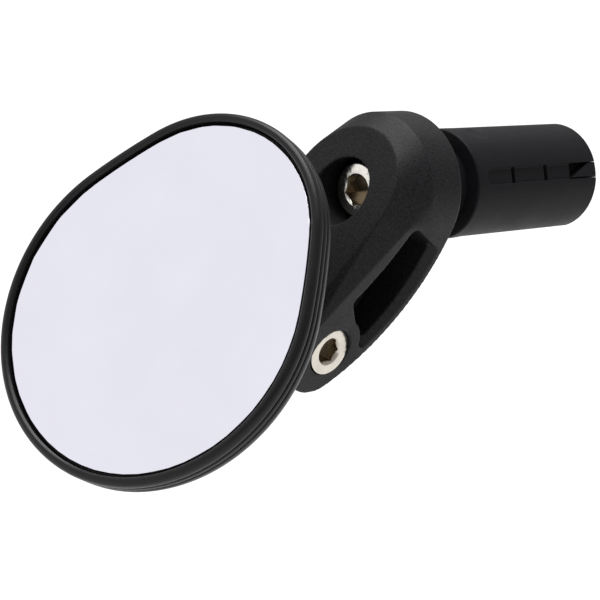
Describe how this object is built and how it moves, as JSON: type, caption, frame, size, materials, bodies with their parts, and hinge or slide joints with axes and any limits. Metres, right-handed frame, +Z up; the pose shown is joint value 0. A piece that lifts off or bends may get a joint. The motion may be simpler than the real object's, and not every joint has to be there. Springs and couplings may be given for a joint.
{
  "type": "bar-end bicycle mirror",
  "caption": "Egg-shaped bicycle mirror on a ball joint and forked pivot arm, with an expanding plug that fits inside a handlebar end.",
  "frame": {"origin": "centre of the plug sleeve's near end, on the plug's axis", "axes": "+X along the plug into the handlebar, +Z up, the arm hanging towards -X and -Z in the plane y = 0"},
  "size_m": [0.1135, 0.0582, 0.0578],
  "materials": {
    "nylon_black": "fine-grained moulded glass-filled nylon",
    "plug_plastic": "smooth satin moulded plastic",
    "rim_plastic": "satin moulded rim",
    "steel_bright": "bright nickel-plated steel",
    "steel_plain": "plain zinc-plated steel",
    "mirror_silver": "clear silvered mirror",
    "rubber_black": "soft black rubber",
    "bronze": "plain bearing bronze",
    "liner_white": "natural nylon",
    "fibre": "pressed friction fibre",
    "foam": "double-sided foam pad"
  },
  "bodies": {
    "plug": {"plug_sleeve": "plug_plastic", "neck_collar": "plug_plastic", "neck_o_ring": "rubber_black", "swivel_disc": "fibre"},
    "bolt": {"centre_bolt": "steel_bright", "bolt_washer": "steel_bright"},
    "cone": {"expander_cone": "plug_plastic", "cone_nut": "steel_plain"},
    "arm": {"arm_body": "nylon_black", "pivot_screw": "steel_bright", "pivot_nut": "steel_bright", "pivot_washers": "steel_plain"},
    "stalk": {"knuckle": "nylon_black", "pivot_bush": "bronze", "ball_stud": "steel_plain"},
    "liner": {"ball_liner": "liner_white"},
    "head": {"head_shell": "rim_plastic", "socket_retainer": "plug_plastic", "retainer_screws": "steel_plain", "backing_plate": "plug_plastic", "glass_pad": "foam", "mirror_glass": "mirror_silver", "rim_ring": "rim_plastic", "glass_gasket": "rubber_black"}
  },
  "joints": [
    {"name": "bolt_turn", "type": "hinge", "parent": "plug", "child": "bolt", "pos_m": [0, 0, 0], "axis": [1, 0, 0], "range_deg": [-720, 0]},
    {"name": "cone_slide", "type": "slide", "parent": "plug", "child": "cone", "axis": [1, 0, 0], "range_m": [0, 0.002]},
    {"name": "arm_swivel", "type": "hinge", "parent": "plug", "child": "arm", "pos_m": [0, 0, 0], "axis": [1, 0, 0], "continuous": true},
    {"name": "stalk_pivot", "type": "hinge", "parent": "arm", "child": "stalk", "pos_m": [-0.028, 0, -0.026], "axis": [0, 1, 0], "range_deg": [-90, 25]},
    {"name": "head_yaw", "type": "hinge", "parent": "stalk", "child": "liner", "pos_m": [-0.04749, 0, -0.01997], "axis": [0.4772, 0, 0.8788], "range_deg": [-20.2, 9.8]},
    {"name": "head_spin", "type": "hinge", "parent": "liner", "child": "head", "pos_m": [-0.04749, 0, -0.01997], "axis": [-0.8752, -0.0906, 0.4752], "continuous": true}
  ],
  "couplings": [
    {"joint": "bolt_turn", "follows": "cone_slide", "rad_per_m": -6283.2}
  ]
}
